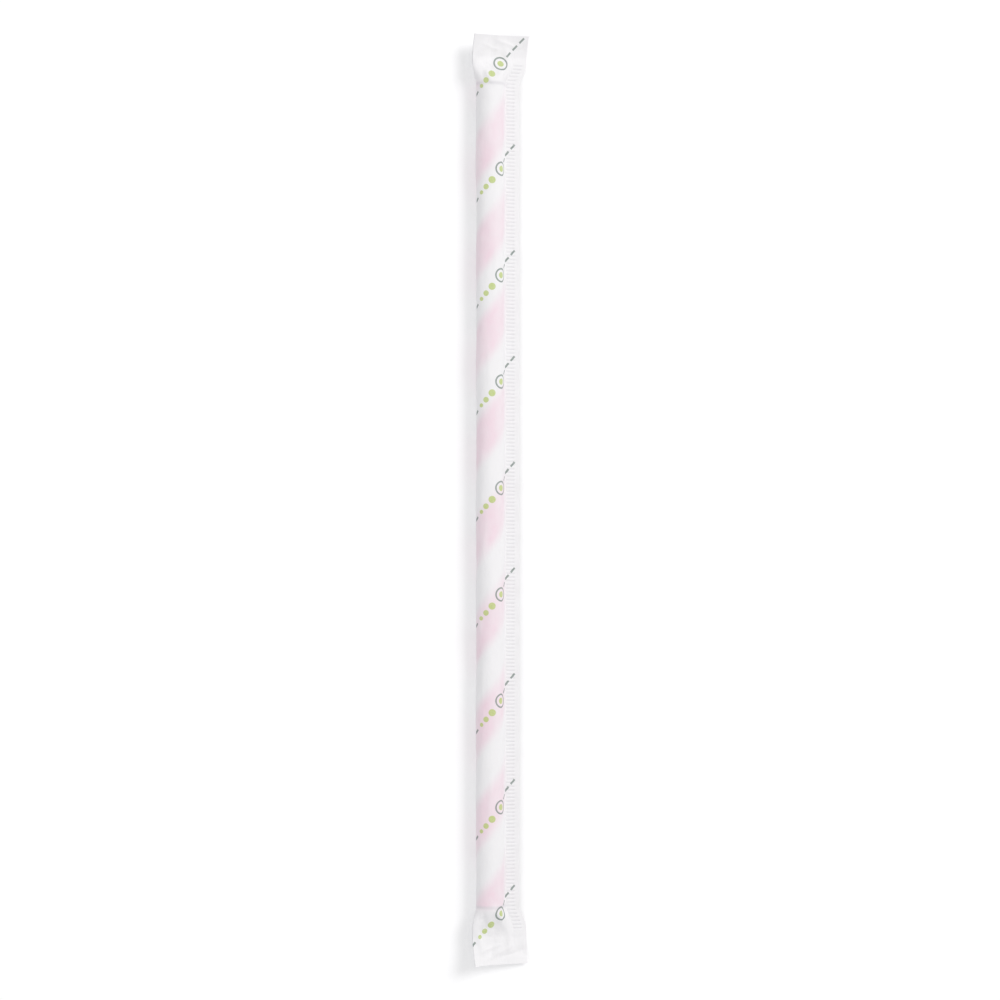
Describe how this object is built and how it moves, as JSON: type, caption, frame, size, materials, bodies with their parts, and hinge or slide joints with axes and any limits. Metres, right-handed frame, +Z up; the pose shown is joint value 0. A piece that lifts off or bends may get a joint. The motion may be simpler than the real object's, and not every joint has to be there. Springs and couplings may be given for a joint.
{
  "type": "wrapped drinking straw",
  "caption": "Round paper drinking straw sealed in a close sleeve of thin paper with a knurled side seam and flat pressed ends.",
  "frame": {"origin": "on the surface it lies on, under the middle of the box round the wrapped straw", "axes": "+Y along the straw towards its upper end, +X towards the wrapper's seam, +Z up"},
  "size_m": [0.0134, 0.2234, 0.0064],
  "materials": {
    "straw_paper": "red and white spiral stripe, satin",
    "wrapping_paper": "thin white, slightly glazed, the stripes show through"
  },
  "bodies": {
    "root": {"straw": "straw_paper", "wrapper": "wrapping_paper"}
  },
  "joints": []
}
